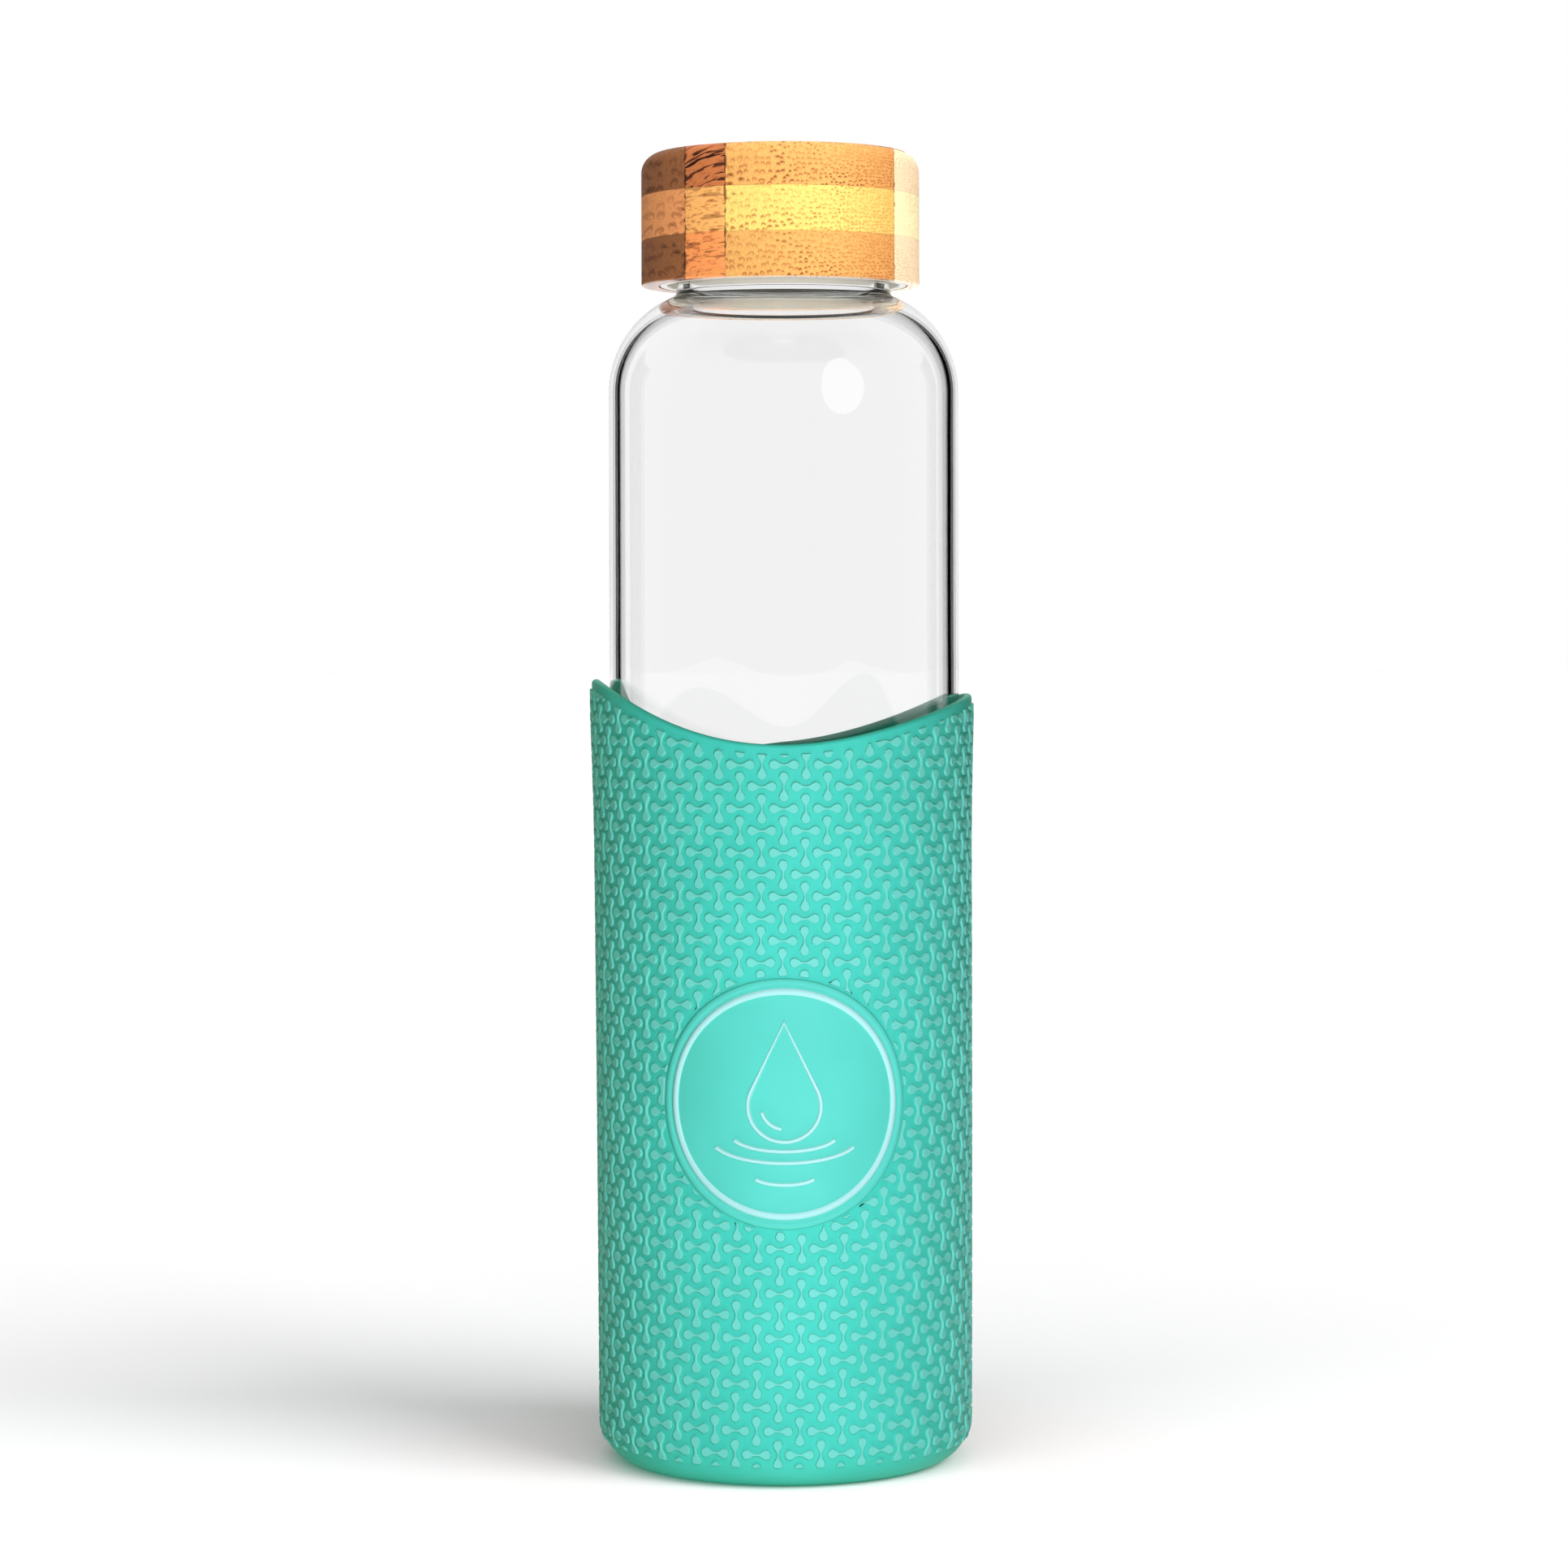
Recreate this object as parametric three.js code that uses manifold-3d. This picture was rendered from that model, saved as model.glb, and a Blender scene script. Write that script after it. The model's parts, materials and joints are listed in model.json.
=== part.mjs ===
// A glass water bottle: a borosilicate body in a moulded silicone sleeve, with a bamboo screw lid.
// Millimetres, +Z up. The origin is the centre of the ring that the sleeve stands on,
// and the sleeve's round badge faces -Y.

import * as THREE from 'three';
import { mergeVertices } from 'three/addons/utils/BufferGeometryUtils.js';
import Module from 'manifold-3d';

const wasm = await Module();
wasm.setup();

// ---------------------------------------------------------------- Driving dimensions

const facets = 56;              // facets round every turned piece
const cornerSteps = 4;          // facets in a rounded corner
const seatGap = 0.3;            // space kept between two pieces that touch

// Glass body
const glassRadius = 32.75;      // outside of the straight wall
const glassWall = 2.0;
const glassFloor = 4.0;         // thickness of the floor at its rim
const glassHeel = 5.5;          // outer rounding where the wall meets the floor
const puntRise = 2.5;           // how far the middle of the floor arches up
const puntRadius = 24.0;        // where the arch starts
const wallHeight = 196.9;       // from the underside of the floor to the start of the shoulder
const shoulderRadius = 19.4;    // outer rounding of the shoulder
const neckRadius = 20.0;        // outside of the neck
const mouthRadius = 17.5;       // bore of the neck
const neckHeight = 19.1;        // from the top of the shoulder to the rim
const rimRounding = 1.0;

// Screw thread, right-handed, one start
const threadPitch = 4.2;
const threadTurns = 1.25;
const threadHeight = 1.2;       // how far a thread stands out of its wall
const threadClearance = 0.5;    // between a thread's crest and the wall that it faces
const glassBead = 1.15;         // radius of the round thread on the neck
const linerBead = 1.0;          // radius of the round thread in the liner
const threadDrop = 10.5;        // from the rim down to the start of the neck's thread
const leadIn = 0.12;            // share of a thread's length over which each end sinks into its wall

// Silicone sleeve
const sleeveWall = 1.45;
const sleeveFloor = 2.0;
const sleeveCorner = 7.3;       // outer rounding at the base
const sleeveHole = 20.0;        // radius of the hole in the sleeve's floor
const sleeveTaper = 0.5;        // how much wider the sleeve is where its lip starts than at its base
const lipFlare = 0.45;          // how much further the lip stands out at the rim
const lipHeight = 22.0;         // height of the flared lip under the low point of the rim
const rimLow = 134.7;           // height of the scooped rim at the front and back
const rimSweep = 9.6;           // how much higher the rim is at the sides
const badgeRadius = 22.6;
const badgeHeight = 69.8;       // centre of the badge above the base
const badgeRise = 0.5;          // how far the badge stands out of the sleeve

// Lid
const linerWall = 1.5;
const linerRoof = 1.2;
const sealThickness = 2.0;
const sealWidth = 5.9;
const lidWall = 2.55;           // bamboo round the liner
const lidRoof = 3.4;            // bamboo over the liner
const lidClearance = 1.8;       // between the top of the shoulder and the lid
const lidCorner = 3.65;         // rounding of the lid's top edge
const lidEdge = 0.5;            // rounding of the lid's bottom edge
const plyCount = 3;

// The bamboo strips of every ply meet on these lines, measured from the axis along X
const leftJoint = -17.4;
const streakJoint = -10.0;
const rightJoint = 21.0;

// ---------------------------------------------------------------- Worked-out places

const glassBottom = sleeveFloor + seatGap;
const shoulderStart = glassBottom + wallHeight;
const shoulderAxis = glassRadius - shoulderRadius;
const shoulderTop = shoulderStart + Math.sqrt(shoulderRadius ** 2 - (neckRadius - shoulderAxis) ** 2);
const glassRim = shoulderTop + neckHeight;

const linerBore = neckRadius + threadHeight + threadClearance;
const linerRadius = linerBore + linerWall;
const sealBottom = glassRim + seatGap;
const linerCeiling = sealBottom + sealThickness + seatGap;
const linerTop = linerCeiling + linerRoof;

const lidBore = linerRadius + seatGap;
const lidRadius = lidBore + lidWall;
const lidBottom = shoulderTop + lidClearance;
const lidCeiling = linerTop + seatGap;
const lidTop = lidCeiling + lidRoof;
const plyHeight = (lidTop - lidBottom) / plyCount;

const sleeveBore = glassRadius + seatGap;
const sleeveRadius = sleeveBore + sleeveWall;
const lipStart = rimLow - lipHeight;

// ---------------------------------------------------------------- Shapes

const point = (radius, height) => new THREE.Vector2(radius, height);

// Points of an arc in a turned profile, with its angles in degrees from the outward direction.
function arc(centreRadius, centreHeight, radius, from, to, steps = cornerSteps) {
  const start = THREE.MathUtils.degToRad(from);
  const end = THREE.MathUtils.degToRad(to);
  return new THREE.EllipseCurve(centreRadius, centreHeight, radius, radius, start, end, end < start)
    .getPoints(steps);
}

// A profile turned about Z. It runs anticlockwise, with the radius to the right and the height up.
function turned(profile) {
  return new THREE.LatheGeometry(profile, facets).rotateX(Math.PI / 2);
}

// A closed geometry as a solid that can be joined and cut.
function solid(geometry) {
  const bare = new THREE.BufferGeometry();
  bare.setAttribute('position', geometry.attributes.position);
  bare.setIndex(geometry.index);
  const merged = mergeVertices(bare, 1e-4);
  const corners = merged.index.array;
  const triangles = [];
  for (let i = 0; i < corners.length; i += 3) {
    const [a, b, c] = corners.slice(i, i + 3);
    if (a !== b && b !== c && c !== a) triangles.push(a, b, c);
  }
  return new wasm.Manifold(new wasm.Mesh({
    numProp: 3,
    vertProperties: merged.attributes.position.array,
    triVerts: new Uint32Array(triangles),
  }));
}

function geometryOf(body) {
  const mesh = body.getMesh();
  const geometry = new THREE.BufferGeometry();
  geometry.setAttribute('position', new THREE.BufferAttribute(mesh.vertProperties, 3));
  geometry.setIndex(new THREE.BufferAttribute(mesh.triVerts, 1));
  geometry.computeVertexNormals();
  return geometry;
}

function block(lowX, highX, lowY, highY, lowZ, highZ) {
  const geometry = new THREE.BoxGeometry(highX - lowX, highY - lowY, highZ - lowZ);
  geometry.translate((lowX + highX) / 2, (lowY + highY) / 2, (lowZ + highZ) / 2);
  return solid(geometry);
}

// A right-handed helix whose two ends slide over to another radius.
class ThreadPath extends THREE.Curve {
  constructor(radius, endRadius, bottom) {
    super();
    this.radius = radius;
    this.endRadius = endRadius;
    this.bottom = bottom;
  }

  getPoint(t, target = new THREE.Vector3()) {
    const angle = 2 * Math.PI * threadTurns * t;
    const raised = Math.min(1, t / leadIn, (1 - t) / leadIn);
    const radius = this.endRadius + (this.radius - this.endRadius) * raised;
    const height = this.bottom + threadPitch * threadTurns * t;
    return target.set(radius * Math.cos(angle), radius * Math.sin(angle), height);
  }
}

function thread(path, beadRadius) {
  const section = new THREE.Shape().absarc(0, 0, beadRadius, 0, 2 * Math.PI);
  const steps = Math.round(facets * threadTurns);
  return solid(new THREE.ExtrudeGeometry(section, { steps, curveSegments: 4, extrudePath: path }));
}

// ---------------------------------------------------------------- Glass body

const threadBottom = glassRim - threadDrop;

function glassBottle() {
  const heelAxis = glassRadius - glassHeel;
  const innerHeel = glassHeel - glassWall;
  const innerRadius = glassRadius - glassWall;
  const floorTop = glassBottom + glassFloor;
  const shoulderEnd = THREE.MathUtils.radToDeg(Math.acos((neckRadius - shoulderAxis) / shoulderRadius));
  const innerShoulder = shoulderRadius - glassWall;
  const innerEnd = THREE.MathUtils.radToDeg(Math.acos((mouthRadius - shoulderAxis) / innerShoulder));
  const profile = [
    point(0, glassBottom + puntRise),
    point(puntRadius / 2, glassBottom + puntRise * 0.8),
    point(puntRadius, glassBottom),
    ...arc(heelAxis, glassBottom + glassHeel, glassHeel, -90, 0),
    ...arc(shoulderAxis, shoulderStart, shoulderRadius, 0, shoulderEnd, 2 * cornerSteps),
    ...arc(neckRadius - rimRounding, glassRim - rimRounding, rimRounding, 0, 90, 2),
    ...arc(mouthRadius + rimRounding, glassRim - rimRounding, rimRounding, 90, 180, 2),
    ...arc(shoulderAxis, shoulderStart, innerShoulder, innerEnd, 0, 2 * cornerSteps),
    ...arc(innerRadius - innerHeel, floorTop + innerHeel, innerHeel, 0, -90),
    point(puntRadius / 2, floorTop + puntRise * 0.8),
    point(0, floorTop + puntRise),
  ];
  const crestPath = neckRadius + threadHeight - glassBead;
  const buriedPath = (neckRadius + mouthRadius) / 2;
  const neckThread = thread(new ThreadPath(crestPath, buriedPath, threadBottom), glassBead);
  return solid(turned(profile)).add(neckThread);
}

// ---------------------------------------------------------------- Silicone sleeve

// Raises the rim's vertices towards the sides, so that the rim dips at the front and back.
function scoopRim(geometry) {
  const position = geometry.attributes.position;
  const vertex = new THREE.Vector3();
  for (let i = 0; i < position.count; i += 1) {
    vertex.fromBufferAttribute(position, i);
    const share = THREE.MathUtils.clamp((vertex.z - lipStart) / lipHeight, 0, 1);
    const sideways = (vertex.x / Math.hypot(vertex.x, vertex.y)) ** 2;
    position.setZ(i, vertex.z + rimSweep * share * sideways);
  }
  return geometry;
}

function siliconeSleeve() {
  const cornerAxis = sleeveRadius - sleeveCorner;
  const innerCorner = glassHeel + seatGap;
  const lipBore = sleeveBore + sleeveTaper / 2;
  const lipRadius = sleeveRadius + sleeveTaper;
  const lipEdge = sleeveWall / 3;
  const rimRadius = lipRadius + lipFlare;
  const rimBore = rimRadius - sleeveWall;
  const profile = [
    point(sleeveHole, 0),
    ...arc(cornerAxis, sleeveCorner, sleeveCorner, -90, 0),
    point(lipRadius, lipStart),
    point(rimRadius, rimLow - lipEdge),
    point(rimRadius - lipEdge, rimLow),
    point(rimBore + lipEdge, rimLow),
    point(rimBore, rimLow - lipEdge),
    point(lipBore, lipStart),
    ...arc(sleeveBore - innerCorner, sleeveFloor + innerCorner, innerCorner, 0, -90),
    point(sleeveHole, sleeveFloor),
    point(sleeveHole, 0),
  ];
  const shell = solid(scoopRim(turned(profile)));

  // The badge is a round patch of a slightly larger shell, joined to the front.
  const patchRadius = sleeveRadius + sleeveTaper / 2 + badgeRise;
  const patchBore = sleeveRadius - sleeveWall / 2;
  const patch = solid(turned([
    point(patchBore, badgeHeight - 2 * badgeRadius),
    point(patchRadius, badgeHeight - 2 * badgeRadius),
    point(patchRadius, badgeHeight + 2 * badgeRadius),
    point(patchBore, badgeHeight + 2 * badgeRadius),
    point(patchBore, badgeHeight - 2 * badgeRadius),
  ]));
  const reach = 2 * sleeveRadius;
  const outline = new THREE.CylinderGeometry(badgeRadius, badgeRadius, reach, facets / 2);
  outline.translate(0, -reach / 2, badgeHeight);
  return shell.add(patch.intersect(solid(outline)));
}

// ---------------------------------------------------------------- Lid

function lidSeal() {
  const outer = linerBore - seatGap;
  const inner = outer - sealWidth;
  const top = sealBottom + sealThickness;
  return solid(turned([
    point(inner, sealBottom),
    point(outer, sealBottom),
    point(outer, top),
    point(inner, top),
    point(inner, sealBottom),
  ]));
}

function threadedLiner() {
  const cup = solid(turned([
    point(linerBore, lidBottom),
    point(linerRadius, lidBottom),
    point(linerRadius, linerTop),
    point(0, linerTop),
    point(0, linerCeiling),
    point(linerBore, linerCeiling),
    point(linerBore, lidBottom),
  ]));
  // Half a pitch under the neck's thread, the liner's thread runs in the middle of its groove.
  const bottom = threadBottom - threadPitch / 2;
  const crestPath = linerBore - threadHeight + linerBead;
  const buriedPath = linerBore + linerWall / 5;
  return cup.add(thread(new ThreadPath(crestPath, buriedPath, bottom), linerBead));
}

function lidBlank() {
  return solid(turned([
    point(lidBore, lidBottom),
    ...arc(lidRadius - lidEdge, lidBottom + lidEdge, lidEdge, -90, 0, 2),
    ...arc(lidRadius - lidCorner, lidTop - lidCorner, lidCorner, 0, 90),
    point(0, lidTop),
    point(0, lidCeiling),
    point(lidBore, lidCeiling),
    point(lidBore, lidBottom),
  ]));
}

// ---------------------------------------------------------------- Assembly

const group = new THREE.Group();

function place(name, body, color, roughness, metalness = 0) {
  const material = new THREE.MeshStandardMaterial({ color, roughness, metalness });
  const mesh = new THREE.Mesh(geometryOf(body), material);
  mesh.name = name;
  group.add(mesh);
  return material;
}

const glass = place('glass_bottle', glassBottle(), 0xeef3f3, 0.05);
glass.transparent = true;
glass.opacity = 0.35;
place('silicone_sleeve', siliconeSleeve(), 0x5fe0cb, 0.55);
place('threaded_liner', threadedLiner(), 0xf3efe4, 0.4);
place('lid_seal', lidSeal(), 0xf4f4f2, 0.6);

// Each ply is cut into strips. A strip that the liner's bore would cut in two is a front and a back.
function placePly(name, bottom, top, open, color) {
  const blank = lidBlank();
  const half = seatGap / 2;
  const reach = 2 * lidRadius;
  const strips = [
    ['left_end', -reach, leftJoint, false],
    ['streaked', leftJoint, streakJoint, open],
    ['main', streakJoint, rightJoint, open],
    ['right_end', rightJoint, reach, false],
  ];
  for (const [strip, from, to, split] of strips) {
    const sides = split ? [['_front', -reach, -half], ['_back', half, reach]] : [['', -reach, reach]];
    for (const [side, nearY, farY] of sides) {
      const cut = block(from + half, to - half, nearY, farY, bottom + half, top - half);
      place(`${name}_${strip}${side}`, blank.intersect(cut), color, 0.6);
    }
  }
}

placePly('bottom_ply', lidBottom - seatGap, lidBottom + plyHeight, true, 0xb5793f);
placePly('middle_ply', lidBottom + plyHeight, lidBottom + 2 * plyHeight, true, 0xe3b873);
placePly('top_ply', lidBottom + 2 * plyHeight, lidTop + seatGap, false, 0xa86a34);

export default group;
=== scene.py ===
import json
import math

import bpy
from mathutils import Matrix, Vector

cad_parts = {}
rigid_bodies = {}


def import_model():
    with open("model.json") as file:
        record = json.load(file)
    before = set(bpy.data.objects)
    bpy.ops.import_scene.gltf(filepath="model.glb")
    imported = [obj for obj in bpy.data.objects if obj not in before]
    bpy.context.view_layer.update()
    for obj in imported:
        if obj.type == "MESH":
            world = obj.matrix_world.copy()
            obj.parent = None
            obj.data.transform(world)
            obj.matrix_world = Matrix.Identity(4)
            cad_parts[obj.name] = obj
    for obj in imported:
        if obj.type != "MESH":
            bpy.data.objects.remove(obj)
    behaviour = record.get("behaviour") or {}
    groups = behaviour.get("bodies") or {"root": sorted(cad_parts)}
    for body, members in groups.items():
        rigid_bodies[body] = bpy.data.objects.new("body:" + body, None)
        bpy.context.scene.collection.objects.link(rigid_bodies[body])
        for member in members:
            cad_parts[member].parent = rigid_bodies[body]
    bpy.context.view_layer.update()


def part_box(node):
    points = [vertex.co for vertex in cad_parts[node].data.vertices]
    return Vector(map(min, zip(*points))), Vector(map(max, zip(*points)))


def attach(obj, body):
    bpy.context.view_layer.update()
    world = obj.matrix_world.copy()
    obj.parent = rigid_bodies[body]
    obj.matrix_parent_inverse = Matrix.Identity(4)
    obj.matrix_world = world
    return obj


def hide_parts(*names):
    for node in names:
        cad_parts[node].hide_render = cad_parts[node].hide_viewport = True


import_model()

# A glass water bottle in a soft silicone sleeve, with a laminated bamboo lid.
# Shapes are worked out in millimetres, and mesh_object() turns them into metres.
# An angle round the bottle is 0 at the front (-Y) and grows towards +X.

MM = 0.001


# ---------------------------------------------------------------- Sizes, in millimetres

def span(node):
    """Lowest and highest corner of a CAD node."""
    low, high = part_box(node)
    return low / MM, high / MM


GLASS_LOW, GLASS_HIGH = span("glass_bottle")
SLEEVE_HIGH = span("silicone_sleeve")[1]
LINER_LOW, LINER_HIGH = span("threaded_liner")
SEAL_LOW, SEAL_HIGH = span("lid_seal")
TOP_HIGH = span("top_ply_main")[1]
MIDDLE_LOW, MIDDLE_HIGH = span("middle_ply_left_end")
STRIP_GAP = 0.3                      # between two strips of the CAD model

ROUND = 256                          # facets round a turned piece

# Glass
GLASS_RADIUS = GLASS_HIGH.x
GLASS_WALL = 2.0
GLASS_FLOOR = 4.0
GLASS_HEEL = 5.5
PUNT_RISE = 2.5
PUNT_RADIUS = 24.0
SHOULDER_RADIUS = 19.4
SHOULDER_START = GLASS_LOW.z + 196.9
NECK_RADIUS = 20.0
NECK_FILLET = 1.4
MOUTH_RADIUS = 17.5
RIM_ROUNDING = 1.2

# Screw thread
PITCH = 4.2
THREAD_TURNS = 1.25
THREAD_HEIGHT = 1.2
THREAD_BOTTOM = GLASS_HIGH.z - 10.5
GLASS_BEAD = 1.15
LINER_BEAD = 1.0
LEAD_IN = 0.12

# Sleeve
SLEEVE_WALL = 1.45
SLEEVE_FLOOR = 2.0
SLEEVE_CORNER = 7.3
SLEEVE_HOLE = 20.0
SLEEVE_HOLE_EDGE = 0.5                # rounding of both edges of the hole in the floor
SLEEVE_TAPER = 0.5
LIP_FLARE = 0.45
LIP_START = 112.7
RIM_LOW = 134.7
RIM_MIDDLE = 138.9                   # mean height of the scooped rim
RIM_SCOOP = 5.3                      # how far it dips in front and rises at the sides
SLEEVE_BASE = SLEEVE_HIGH.x - SLEEVE_TAPER - LIP_FLARE
LEAN = 0.4                           # how far the soft sleeve leans to -X at its rim

# Relief of small bones
PITCHES_ROUND = 56
BONE_PITCH = 3.95
RELIEF_RADIUS = PITCHES_ROUND * BONE_PITCH / (2 * math.pi)
BONE_TWIST = 0.0143                  # how far a column leans per millimetre of height
TWIST_HEIGHT = 107.6                 # height at which the columns are counted from the front
BONE_ROW = 130.7                     # height of row 0, from which the others are counted downwards
ROW_DRIFT = 0.0007                   # lower rows drift apart by this times the cube of their count
DRIFT_START = 18                     # the row from which they do
BONE_LOBE = 0.90
BONE_REACH = 1.80                    # from the bone's middle to the centre of a lobe
BONE_WAIST = 0.15
BONE_RISE = 0.40
RELIEF_BOTTOM = 4.3
RIM_BORDER = 1.8
BADGE_GROOVE = 0.45

# Badge
BADGE_RADIUS = 22.6
BADGE_HEIGHT = 69.8
BADGE_RISE = 0.5
BADGE_STRETCH = 1.03                 # the badge is a little wider than high along the curve
BADGE_RING = 20.2
BADGE_DEPTH = 0.3                    # the badge reaches this far into the skin
RING_WIDTH = 1.25
LINE_WIDTH = 0.82
LINE_RISE = 0.32

# Lid
SEAL_BORE = 15.6
LINER_WALL = 1.5
LINER_ROOF = 1.2
LID_BORE = LINER_HIGH.x + 0.15
LID_CORNER = 3.65
LID_EDGE = 0.5
LID_SHIFT = -0.55                    # the wooden cap sits a little off the axis of the liner
LID_RADIUS = -span("top_ply_left_end")[0].x
GLUE_LINE = 0.03                     # between two strips of the visual model
JOINTS = (-17.4, -10.0, 21.0)        # where the strips meet, along X from the middle of the wood

# Camera
EYE_DISTANCE = 800.0
EYE_HEIGHT = 156.5


# ---------------------------------------------------------------- Mesh tools

def around(radius, angle, height):
    return radius * math.sin(angle), -radius * math.cos(angle), height


def arc(centre_radius, centre_height, radius, start, end, steps):
    """Points of an arc in a profile, with its angles in degrees from the outward direction."""
    points = []
    for step in range(steps + 1):
        angle = math.radians(start + (end - start) * step / steps)
        points.append((centre_radius + radius * math.cos(angle), centre_height + radius * math.sin(angle)))
    return points


def turned(profile, count=ROUND):
    """Vertices and faces of a profile turned about Z. A profile runs anticlockwise, with the radius to the
    right and the height up, and is a list or a function of the angle. One that starts on the axis also ends
    there, and any other closes on itself."""
    at = profile if callable(profile) else lambda angle: profile
    columns = [at(2 * math.pi * k / count) for k in range(count)]
    vertices, faces, rings = [], [], []
    for station in range(len(columns[0])):
        if columns[0][station][0] == 0:
            rings.append([len(vertices)] * count)
            vertices.append((0, 0, columns[0][station][1]))
            continue
        rings.append(list(range(len(vertices), len(vertices) + count)))
        for k in range(count):
            radius, height = columns[k][station]
            vertices.append(around(radius, 2 * math.pi * k / count, height))
    if columns[0][0][0] != 0:
        rings.append(rings[0])
    for lower, upper in zip(rings, rings[1:]):
        for k in range(count):
            after = (k + 1) % count
            faces.append(list(dict.fromkeys([lower[k], lower[after], upper[after], upper[k]])))
    return vertices, faces


def mesh_object(name, vertices, faces, material, sharp=None):
    """An object from vertices in millimetres. Edges that bend by more than sharp degrees stay hard."""
    mesh = bpy.data.meshes.new(name)
    mesh.from_pydata([Vector(v) * MM for v in vertices], [], faces)
    mesh.shade_smooth()
    if sharp is not None:
        mesh.set_sharp_from_angle(angle=math.radians(sharp))
    mesh.materials.append(material)
    piece = bpy.data.objects.new(name, mesh)
    bpy.context.scene.collection.objects.link(piece)
    return piece


def combine(piece, tool, operation, sharp):
    """Joins tool to piece or cuts piece with it, and removes tool."""
    modifier = piece.modifiers.new("combine", "BOOLEAN")
    modifier.operation = operation
    modifier.object = tool
    modifier.solver = "EXACT"
    graph = bpy.context.evaluated_depsgraph_get()
    mesh = bpy.data.meshes.new_from_object(piece.evaluated_get(graph))
    mesh.name = piece.name
    mesh.shade_smooth()
    mesh.set_sharp_from_angle(angle=math.radians(sharp))
    piece.modifiers.clear()
    piece.data = mesh
    bpy.data.objects.remove(tool)


def thread_bead(path_radius, end_radius, bottom, bead):
    """A round bead on a right-handed helix, whose two ends slide over to end_radius."""
    steps, sides = 300, 20
    vertices, faces = [], []
    for step in range(steps + 1):
        t = step / steps
        raised = min(1, t / LEAD_IN, (1 - t) / LEAD_IN)
        raised = raised * raised * (3 - 2 * raised)
        centre = end_radius + (path_radius - end_radius) * raised
        angle = math.pi / 2 + 2 * math.pi * THREAD_TURNS * t
        height = bottom + PITCH * THREAD_TURNS * t
        for radius, z in arc(centre, height, bead, 0, 360, sides)[:-1]:
            vertices.append(around(radius, angle, z))
    for step in range(steps):
        for k in range(sides):
            a, b = step * sides + k, step * sides + (k + 1) % sides
            faces.append([a, a + sides, b + sides, b])
    faces.append(list(range(sides)))
    faces.append(list(range(steps * sides, (steps + 1) * sides))[::-1])
    return vertices, faces


# ---------------------------------------------------------------- Material tools

class Graph:
    """Adds nodes to a material with their inputs linked or set in one call."""

    def __init__(self, name):
        self.material = bpy.data.materials.new(name)
        self.material.use_nodes = True
        self.tree = self.material.node_tree
        self.shader = self.tree.nodes["Principled BSDF"]

    def feed(self, socket, value):
        if isinstance(value, bpy.types.NodeSocket):
            self.tree.links.new(value, socket)
        else:
            socket.default_value = value

    def node(self, kind, output=0, settings=None, **inputs):
        made = self.tree.nodes.new(kind)
        for key, value in (settings or {}).items():
            setattr(made, key, value)
        for key, value in inputs.items():
            self.feed(made.inputs[key], value)
        return made.outputs[output]

    def math(self, operation, *values):
        made = self.tree.nodes.new("ShaderNodeMath")
        made.operation = operation
        for socket, value in zip(made.inputs, values):
            self.feed(socket, value)
        return made.outputs[0]

    def vector(self, x, y, z):
        return self.node("ShaderNodeCombineXYZ", X=x, Y=y, Z=z)

    def position(self):
        """The point's place in millimetres: X, Y and Z."""
        place = self.node("ShaderNodeTexCoord", output="Object")
        parts = self.tree.nodes.new("ShaderNodeSeparateXYZ")
        self.feed(parts.inputs[0], place)
        return [self.math("DIVIDE", part, MM) for part in parts.outputs]

    def noise(self, vector, scale, detail=2.0):
        return self.node("ShaderNodeTexNoise", Vector=vector, Scale=scale, Detail=detail)

    def smooth(self, value, low, high, to_low=0.0, to_high=1.0):
        """Goes smoothly from to_low to to_high as value goes from low to high."""
        inputs = {"Value": value, "From Min": low, "From Max": high, "To Min": to_low, "To Max": to_high}
        return self.node("ShaderNodeMapRange", settings={"interpolation_type": "SMOOTHSTEP"}, **inputs)

    def blend(self, share, first, second):
        """A colour between first and second."""
        made = self.tree.nodes.new("ShaderNodeMix")
        made.data_type = "RGBA"
        for index, value in ((0, share), (6, first), (7, second)):
            self.feed(made.inputs[index], value)
        return made.outputs[2]

    def bump(self, height, strength, distance):
        inputs = {"Height": height, "Strength": strength, "Distance": distance}
        self.feed(self.shader.inputs["Normal"], self.node("ShaderNodeBump", **inputs))

    def set(self, **inputs):
        """Sets inputs of the shader, named with underscores for spaces."""
        for key, value in inputs.items():
            self.feed(self.shader.inputs[key.replace("_", " ")], value)
        return self


def glass_material():
    """Clear borosilicate, with the faint waviness of a blown wall."""
    g = Graph("borosilicate")
    x, y, z = g.position()
    waves = g.noise(g.vector(x, y, z), 0.035, detail=1.0)
    g.bump(waves, 0.05, 0.0006)
    return g.set(Base_Color=(0.99, 0.992, 0.99, 1), Roughness=0.0, IOR=1.47, Transmission_Weight=1.0).material


def silicone_material(name, painted_highlight):
    """Soft matt turquoise silicone: faint cloudiness, and a fine skin from the mould. Raised parts get a
    painted
    highlight: their base colour is mixed a little towards white, so that their tops look lit."""
    g = Graph(name)
    x, y, z = g.position()
    place = g.vector(x, y, z)
    clouds = g.noise(place, 0.06, detail=3.0)
    body = g.blend(g.smooth(clouds, 0.3, 0.7), (0.038, 0.475, 0.302, 1), (0.043, 0.505, 0.325, 1))
    # Painted highlight: the base colour is mixed towards white by this share.
    g.set(Base_Color=g.blend(painted_highlight, body, (1, 1, 1, 1)))
    grain = g.noise(place, 3.0, detail=2.0)
    g.bump(grain, 0.12, 0.00005)
    return g.set(Roughness=g.smooth(grain, 0.3, 0.7, 0.46, 0.54), IOR=1.41, Specular_IOR_Level=0.28).material


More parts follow.
